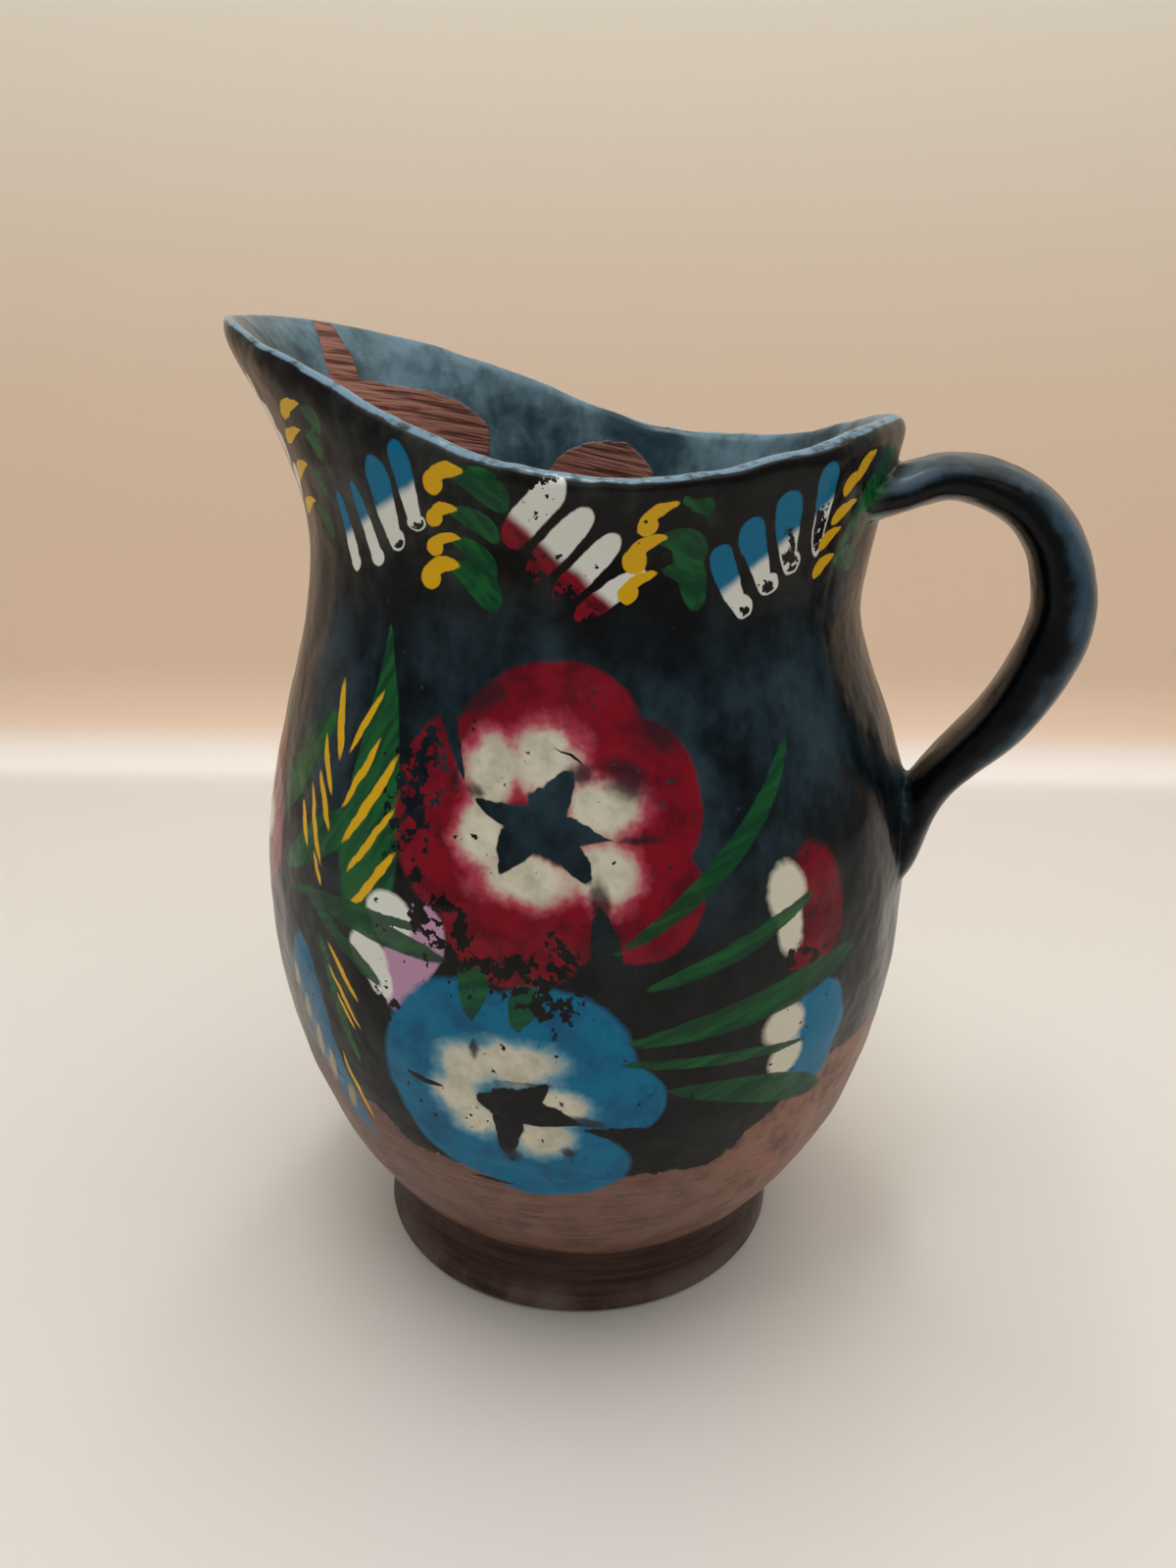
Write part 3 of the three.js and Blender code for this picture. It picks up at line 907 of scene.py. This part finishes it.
def flowers(net, flat, sound, grain, colour):
    """The half-hidden lilac flower, the large red and blue ones, scratches and the two buds."""
    lilac, white, _ = net.stored("half_hidden")
    ragged = net.math("MULTIPLY_ADD", grain, 0.3, -0.15)
    colour = net.coat(colour, LILAC, filled(net, lilac + ragged).least(net.step(sound, 0.0, 0.02)))
    colour = net.coat(colour, WHITE, filled(net, white + ragged, 0.1).least(net.step(sound, -0.01, 0.01)))
    colour = flower(
        net, flat, sound, grain, colour, "red_flower",
        cuts=[
            (7.4, 112.7, 4.3, 3.2, -8),
            ((7.0, 113.6), (-1.9, 115.8), 3.0, 0.5, -0.5),
            ((6.8, 112.6), (12.6, 121.8), 6.4, -0.5, -0.55),
            ((7.6, 112.4), (18.9, 110.8), 4.6, 0.4, -0.85),
            ((8.6, 112.4), (15.6, 104.2), 4.2, 0.5, -0.3),
            ((7.4, 113.6), (2.6, 105.0), 5.6, -0.6, -0.6),
            ((-10.2, 131.6), (-4.4, 118.8), 2.4, 0.6, -0.6),
            ((20.2, 86.5), (16.6, 101.5), 4.6, 0.5, -0.6),
        ],
        colours=(RED, RED_DEEP, PINK), soft=(1.3, 0.7),
    )
    colour = flower(
        net, flat, sound, grain, colour, "blue_flower",
        cuts=[
            (3.6, 63.0, 4.2, 3.6, -10),
            ((4.4, 62.6), (-1.4, 64.6), 4.8, 0.3, -0.2),
            ((3.4, 61.6), (10.2, 69.2), 5.0, -0.5, -0.6),
            ((4.2, 62.6), (15.6, 59.9), 4.8, 0.4, -0.85),
            ((3.6, 64.0), (2.6, 52.0), 5.2, 0.2, -0.2),
            ((34.0, 55.4), (14.6, 59.2), 4.6, 0.5, -0.6),
            ((-13.4, 66.2), (-7.0, 64.6), 1.2, -0.5, -0.4),
        ],
        colours=(BLUE, BLUE_DEEP, BLUE_PALE), soft=(1.3, 0.75),
    )
    scratches = union(net, [
        stroke(net, flat, (-4.4, 44.0), (3.0, 43.6), 0.8),
        stroke(net, flat, (10.7, 84.5), (10.9, 77.0), 1.2),
        stroke(net, flat, (22.4, 61.0), (25.6, 66.4), 0.6, 0.6),
        stroke(net, flat, (10.0, 124.6), (14.6, 122.2), 0.4, 0.5),
    ])
    colour = net.coat(colour, GLAZE_DARK, filled(net, scratches, 0.2).least(net.step(grain, 0.4, 0.44)))
    red_bud, blue_bud, whites = net.stored("buds")
    red = net.coat(RED, RED_DEEP, net.step(grain, 0.3, 0.65))
    red_bud = red_bud + ragged
    colour = net.coat(colour, red, filled(net, red_bud, 0.08).least(net.step(sound, 0.01, 0.03)))
    colour = net.coat(colour, BLUE, filled(net, blue_bud + ragged).least(net.step(sound, 0.0, 0.02)))
    whites = net.math("MULTIPLY_ADD", grain, 0.6, whites - 0.3)
    return net.coat(colour, CREAM, filled(net, whites, 0.16).least(net.step(sound, 0.0, 0.03)))


def right_leaves(net, flat, sound, grain, colour):
    """Long green strokes fanned out to the right, over the edges of the flowers."""
    leaves = union(net, [stroke(net, flat, *leaf) for leaf in THIN_RIGHT_LEAVES])
    leaves = leaves.least(net.math("MULTIPLY_ADD", grain, 0.16, net.stored("greens")[1] - 0.08))
    fibre = net.cloud(net.mapped(flat, (6, 0.7, 1), math.radians(20)), 0.4, 1, 0.6)
    green = net.coat(GREEN_DEEP, GREEN, net.step(fibre, 0.4, 0.75))
    return net.coat(colour, green, filled(net, leaves).least(net.step(sound, -0.02, 0.0) * 0.95))


def far_side(net, flat, sound, grain, colour):
    """The sides that the photo doesn't show, in the same hand but plainer. Places are measured from the
    middle of the back."""
    across, height, _ = net.split(flat)
    leaves = net.stored("far_leaves")[0]
    green = net.coat(GREEN_DEEP, GREEN, net.step(grain, 0.3, 0.6))
    colour = net.coat(colour, green, filled(net, leaves).least(net.step(sound, -0.02, 0.0) * 0.95))
    red, blue, star = net.stored("far_flowers")
    holding = net.step(star, 0.33, 0.36).least(net.step(sound, 0.0, 0.02))
    for petals, paint in ((red, RED), (blue, BLUE)):
        tint = net.coat(paint, CREAM, net.step(net.math("MULTIPLY_ADD", grain, 0.5, petals), 0.72, 0.5))
        colour = net.coat(colour, tint, net.step(petals, 0.83, 0.8).least(holding))

    # The band goes on: clusters and rows of dabs in turn, one pair for each repeat of the pattern
    lifted = height - net.step(across, -25.0, -75.0) * BAND_LIFT_MM
    local = net.math("WRAP", across, REPEAT_MM / 2, -REPEAT_MM / 2)
    rung = net.math("WRAP", net.math("MULTIPLY_ADD", local, 0.12, lifted), RUNG_HIGH_MM, RUNG_LOW_MM)
    touch_place = net.join(local, rung, 1.0)
    within = net.step(lifted, BAND_LOW_MM - 0.2, BAND_LOW_MM + 0.2)
    within = within.least(net.step(lifted, BAND_HIGH_MM + 0.2, BAND_HIGH_MM - 0.2))
    within = within.least(net.step(net.math("ABSOLUTE", across), BAND_END_MM + 1, BAND_END_MM - 1))
    tail = union(net, [stroke(net, touch_place, (-5.0, 164.2), (3.4, 161.8), 3.4, 0.9, 0.3)])
    colour = net.coat(colour, green, filled(net, tail).least(within))
    touch = union(net, [stroke(net, touch_place, (-11.4, 163.2), (-4.6, 164.4), 2.9, 0.4, -0.3)])
    colour = net.coat(colour, YELLOW, filled(net, touch).least(within))
    along_row = (ROW_RIGHT, -ROW_UP, ROW_UP * ROW_MIDDLE_MM - 10.6)
    along = net.dot(net.join(local, lifted, 1.0), along_row)
    aside_row = (ROW_UP, ROW_RIGHT, -ROW_RIGHT * ROW_MIDDLE_MM - 6.2)
    aside = net.dot(net.join(local, lifted, 1.0), aside_row)
    dab_place = net.join(net.math("WRAP", along, DAB_HALF_SPACING_MM, -DAB_HALF_SPACING_MM), aside, 1.0)
    dab = union(net, [stroke(net, dab_place, (0.0, -6.4), (0.0, 6.4), 4.2, 0.0, 0.1, True)])
    row = net.step(net.math("ABSOLUTE", along), ROW_HALF_LENGTH_MM + 0.1, ROW_HALF_LENGTH_MM - 0.1)
    row = row.least(net.step(net.math("ABSOLUTE", across), BAND_END_MM + 1, BAND_END_MM - 1))
    in_pair = net.math("WRAP", across, REPEAT_MM * 1.5, -REPEAT_MM / 2)
    second = net.coat(RED, BLUE, net.step(in_pair, REPEAT_MM / 2 - 1, REPEAT_MM / 2))
    tint = net.coat(second, WHITE, net.step(aside, -1.6, 1.0))
    return net.coat(colour, tint, filled(net, dab).least(row).least(net.step(sound, 0.0, 0.03)))


def clay_material():
    """Everything on the surface: glaze, bare clay, grey slip inside, the painting and its wear."""
    material = bpy.data.materials.new("glazed_clay_paint")
    material.use_nodes = True
    net = Net(material.node_tree)
    shader = material.node_tree.nodes["Principled BSDF"]
    place = net.add("ShaderNodeTexCoord").outputs["Object"]
    x, y, z = net.split(place)
    height = z * 1000.0

    # Brushed edges waver a little, so the flat places waver too
    mottle = net.cloud(place, 150, 3, 0.7)
    waver = net.cloud(place, 140, 2, 0.6)
    wavering_height = net.math("MULTIPLY_ADD", mottle, 1.6, height - 0.8)
    angle = net.math("ARCTAN2", x, y * -1.0)
    around = net.math("MULTIPLY_ADD", angle, FLAT_RADIUS_MM, -0.9)
    flat = net.join(net.math("MULTIPLY_ADD", waver, 1.8, around), wavering_height, 1.0)
    back = net.math("ARCTAN2", x, y)
    around = net.math("MULTIPLY_ADD", back, FLAT_RADIUS_MM, -0.9)
    behind = net.join(net.math("MULTIPLY_ADD", waver, 1.8, around), wavering_height, 1.0)
    inside, lip, handle = net.stored("parts")
    handle_inner, handle_outer, worn = net.stored("handle_sides")

    # The glaze: nearly black, with cloudy blue patches over the belly that are partly its own tone and partly
    # painted sheen, brown round the neck and low down, and grey mottling that is painted sheen, most of it on
    # the neck
    upright = net.mapped(place, (1, 1, 1.8))
    clouds = net.cloud(upright, 42, 4, 0.66)
    cloudy = net.math("MULTIPLY_ADD", mottle, 0.35, clouds - 0.175)
    belly = net.step(height, *BELLY_MM)
    shoulder = belly.least(net.step(height, *SHOULDER_MM))
    belly_smoke_and_sheen = net.step(cloudy, 0.34, 0.74) * net.math("MULTIPLY_ADD", shoulder, 0.8, 0.05)
    glaze = net.coat(GLAZE_BROWN, GLAZE_DARK, shoulder * 0.8 + net.step(clouds, 0.4, 0.7) * 0.3)
    glaze = net.coat(glaze, GLAZE_SMOKE_AND_SHEEN, belly_smoke_and_sheen)
    neck = net.step(height, *NECK_MM)
    # Painted sheen: grey mottling, light all over and strongest on the neck
    grey = net.step(cloudy, 0.42, 0.7) * net.math("MULTIPLY_ADD", neck, 0.56, 0.1)
    glaze = net.coat(glaze, GLAZE_GREY_MOTTLE_AND_SHEEN, grey)

    # How sound the paint is: under 0 it has flaked off
    flecks = net.cloud(place, 440, 3, 0.62)
    loose = worn * net.math("MULTIPLY_ADD", mottle, 0.35, -0.365)
    sound = flecks - 0.31 + loose
    glaze = net.coat(glaze, GLAZE_GREY_MOTTLE_AND_SHEEN, net.step(flecks, 0.7, 0.76) * 0.5)

    # Bare clay below the dipped glaze, and the foot, streaked the way they were turned
    slanting = net.join(x, y, net.math("MULTIPLY_ADD", x * inside, 0.22, z))
    turned = net.cloud(net.mapped(slanting, (1, 1, 0.055)), 62, 2, 0.6)
    clay = net.coat(BARE_CLAY_DARK, BARE_CLAY, net.step(mottle * 0.6 + turned * 0.4, 0.34, 0.62))
    # Paler, more orange clay toward the handle side, where the mottle is high
    clay = net.coat(clay, CLAY_PALER_TOWARD_HANDLE, net.step(x, 24 * MM, 52 * MM) * net.step(mottle, 0.3, 0.6) * 0.9)
    clay = net.coat(clay, GLAZE_BROWN, net.step(turned + flecks, 0.72, 0.68) * 0.85)
    dip = net.math("MULTIPLY_ADD", net.step(x, 34 * MM, 56 * MM), DIP_RISE_AT_HANDLE_MM, DIP_MM)
    dip = net.math("MULTIPLY_ADD", net.step(x, -14 * MM, -26 * MM), DIP_RISE_AT_SPOUT_MM, dip)
    dip = net.math("MULTIPLY_ADD", mottle, 5.0, net.math("MULTIPLY_ADD", clouds, 6.0, dip))
    bare = net.step(height - dip, 0.3, -0.3)
    body = net.coat(glaze, clay, bare)
    foot = net.step(height, FOOT_HEIGHT_MM + 2.0, FOOT_HEIGHT_MM + 0.6)
    foot_tone = net.coat(FOOT_DARK, FOOT_CLAY, net.step(turned, 0.36, 0.58))
    body = net.coat(body, foot_tone, foot * 0.92)
    # A pale haze low on the foot, partly dust and partly painted sheen
    low_dust_and_sheen = net.step(height, 8.0, 2.0) * net.step(clouds, 0.34, 0.62)
    body = net.coat(body, FOOT_DUST_AND_SHEEN, low_dust_and_sheen * 0.5)

    painted = layer(net, "far side", far_side, behind, sound, mottle, body)
    painted = layer(net, "left leaves", left_leaves, flat, sound, mottle, painted)
    painted = layer(net, "flowers", flowers, flat, sound, mottle, painted)
    painted = layer(net, "right leaves", right_leaves, flat, sound, mottle, painted)
    painted = layer(net, "neck band", neck_band, flat, sound, mottle, painted)

    # Grey slip inside, and bare clay where it was wiped off
    wiped = union(net, [
        stroke(net, behind, (-74.8, 190.0), (-79.0, 168.0), 8.0, 0.0, 0.5, True),
        blot(net, behind, -70.0, 163.0, 28.5, 12.6),
        blot(net, behind, -13.0, 149.0, 16.5, 13.6),
    ])
    wiped = net.math("MULTIPLY_ADD", clouds, 0.5, wiped - 0.25)
    low_edge = net.step(net.math("MULTIPLY_ADD", clouds, 24.0, height), 160.0, 158.6)
    wiped = net.step(wiped, 1.02, 0.98).most(low_edge)
    slip = net.coat(SLIP_BLUE, SLIP_PALE, net.step(cloudy, 0.36, 0.68))
    inner_clay = net.coat(INSIDE_CLAY_DARK, INSIDE_CLAY, net.step(turned, 0.38, 0.54))
    slip = net.coat(slip, inner_clay, wiped)
    colour = net.coat(painted, slip, inside)
    # Painted sheen on the upward-facing lip: a speckled pale blue-grey that stands for its highlight as well
    # as real wear
    lip_wear_and_sheen = net.step(net.math("MULTIPLY_ADD", lip, 0.16, mottle * 0.5 + flecks * 0.5), 0.5, 0.68)
    colour = net.coat(colour, LIP_WEAR_AND_SHEEN, lip_wear_and_sheen.least(lip))
    # Painted sheen: the handle's outer side is made a pale blue-grey, mixed into the glaze's own cloudy tone
    handle_smoke_and_sheen = net.step(net.math("MULTIPLY_ADD", handle_outer, 0.26, cloudy), 0.62, 0.92)
    handle_tone = net.coat(HANDLE_DARK, HANDLE_SMOKE_AND_SHEEN, handle_smoke_and_sheen)
    # Painted reflected light: the handle's inner face, turned toward the pot, is made lighter brown in
    # patches
    handle_inner_reflection = handle_inner.least(net.step(cloudy, 0.28, 0.5))
    handle_tone = net.coat(handle_tone, HANDLE_REFLECTED_BROWN, handle_inner_reflection * 0.8)
    colour = net.coat(colour, handle_tone, handle)
    net.feed(shader.inputs["Base Color"], colour)
    shader.inputs["Specular IOR Level"].default_value = 0.16

    # Gloss: the lip is the smoothest, bare clay has a thin gloss only
    dull = bare.most(inside.least(wiped))
    gloss = net.math("MULTIPLY_ADD", cloudy, 0.2, 0.14)
    gloss = net.math("MULTIPLY_ADD", lip, -0.08, gloss)
    net.feed(shader.inputs["Roughness"], net.math("MULTIPLY_ADD", dull, 0.14, gloss))

    # Unevenness too fine for the mesh: fingers' marks, pits in the glaze and turning lines
    lumps = net.cloud(place, 80, 1, 0.55)
    pits = net.cloud(place, 380, 0)
    lined = net.math("MULTIPLY_ADD", inside.least(wiped), 0.9, net.step(height, 56, 44) * 0.25)
    grooves = turned * lined
    relief = net.math("MULTIPLY_ADD", pits, 0.22, net.math("MULTIPLY_ADD", lumps, 1.3, grooves))
    bump = net.add("ShaderNodeBump")
    bump.inputs["Strength"].default_value = 1.0
    bump.inputs["Distance"].default_value = 0.6 * MM
    net.feed(bump.inputs["Height"], relief)
    net.feed(shader.inputs["Normal"], bump.outputs["Normal"])
    return material


def camera():
    data = bpy.data.cameras.new("view")
    data.sensor_fit = "VERTICAL"
    data.sensor_height = SENSOR_MM
    data.lens = PHOTO_FOCAL_PX / PHOTO_HEIGHT_PX * SENSOR_MM
    data.clip_start = 0.01
    obj = bpy.data.objects.new("view", data)
    bpy.context.scene.collection.objects.link(obj)
    azimuth = math.radians(CAMERA_AZIMUTH)
    turn = Matrix.Rotation(azimuth, 4, "Z")
    tilt = Matrix.Rotation(math.radians(90 - CAMERA_PITCH), 4, "X")
    roll = Matrix.Rotation(math.radians(CAMERA_ROLL), 4, "Z")
    place = Vector((CAMERA_DISTANCE * math.sin(azimuth), -CAMERA_DISTANCE * math.cos(azimuth), CAMERA_HEIGHT))
    obj.matrix_world = Matrix.Translation(place) @ turn @ tilt @ roll
    bpy.context.scene.camera = obj


def softbox(name, place, target, size, power, colour):
    data = bpy.data.lights.new(name, "AREA")
    data.shape = "RECTANGLE"
    data.size, data.size_y = size
    data.energy = power
    data.color = colour
    obj = bpy.data.objects.new(name, data)
    obj.location = place
    obj.rotation_euler = (Vector(target) - Vector(place)).to_track_quat("-Z", "Y").to_euler()
    bpy.context.scene.collection.objects.link(obj)


def studio():
    """A wide light overhead, a weak one in front, a strip that glints on the lip, and a dim pale room."""
    softbox("overhead", (0.02, 0.1, 1.0), (0, 0, 0.05), (1.5, 1.2), 9.3, (1.0, 0.985, 0.96))
    softbox("front", (0.3, -1.2, 0.9), (0, 0, 0.1), (0.8, 0.6), 1.2, (1.0, 0.98, 0.96))
    softbox("strip", (-0.05, 0.0, 0.95), (0, 0, 0.15), (0.9, 0.06), 3.0, (0.95, 0.98, 1.0))
    room = bpy.data.worlds.new("room")
    room.use_nodes = True
    glow = room.node_tree.nodes["Background"]
    glow.inputs["Color"].default_value = (0.8, 0.8, 0.8, 1)
    glow.inputs["Strength"].default_value = 0.35
    bpy.context.scene.world = room
    bpy.context.scene.view_settings.view_transform = "Standard"


def backdrop():
    """A pale paper sweep: floor, a tight curve a little way behind the pitcher with a painted band of light
    along it, and a warm wall painted paler higher up.
    """
    rows = [(SWEEP_NEAR_Y, 0.0), (SWEEP_BEND_Y - SWEEP_RADIUS, 0.0)]
    for step_number in range(1, SWEEP_STEPS + 1):
        turn = math.pi / 2 * step_number / SWEEP_STEPS
        rows.append((
            SWEEP_BEND_Y - SWEEP_RADIUS + SWEEP_RADIUS * math.sin(turn),
            SWEEP_RADIUS - SWEEP_RADIUS * math.cos(turn),
        ))
    rows.append((SWEEP_BEND_Y, SWEEP_TOP))
    places = [(x, y, z - FLOOR_GAP) for y, z in rows for x in (-SWEEP_HALF_WIDTH, SWEEP_HALF_WIDTH)]
    faces = [(2 * n, 2 * n + 1, 2 * n + 3, 2 * n + 2) for n in range(len(rows) - 1)]
    mesh = bpy.data.meshes.new("backdrop")
    mesh.from_pydata(places, [], faces)
    sweep = bpy.data.objects.new("backdrop", mesh)
    bpy.context.scene.collection.objects.link(sweep)
    sweep.rotation_euler.z = math.radians(CAMERA_AZIMUTH)
    select_only(sweep)
    bpy.ops.object.transform_apply(location=False, rotation=True, scale=False)
    bpy.ops.object.shade_smooth()
    material = bpy.data.materials.new("backdrop_paper")
    material.use_nodes = True
    net = Net(material.node_tree)
    shader = material.node_tree.nodes["Principled BSDF"]
    place = net.add("ShaderNodeTexCoord").outputs["Object"]
    height = net.split(place)[2]
    # Painted light: the wall is paler higher up, and the paper is brighter along the bend
    wall = net.coat(PAPER_WALL, PAPER_WALL_HIGH_LIGHT, net.step(height, 0.10, 0.45))
    floor = net.coat(PAPER_FLOOR, PAPER_BEND_LIGHT_BAND, net.step(height, -0.0004, 0.004))
    colour = net.coat(floor, wall, net.step(height, 0.004, 0.022))
    net.feed(shader.inputs["Base Color"], colour)
    shader.inputs["Roughness"].default_value = 0.65
    mesh.materials.append(material)


pot = fired_clay()
smooth_the_joins(pot)
work_by_hand(pot)
select_only(pot)
bpy.ops.object.shade_smooth()
mark_parts(pot)
lay_out_painting(pot)
pot.data.materials.clear()
pot.data.materials.append(clay_material())
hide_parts("pitcher")
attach(pot, "root")
camera()
backdrop()
studio()
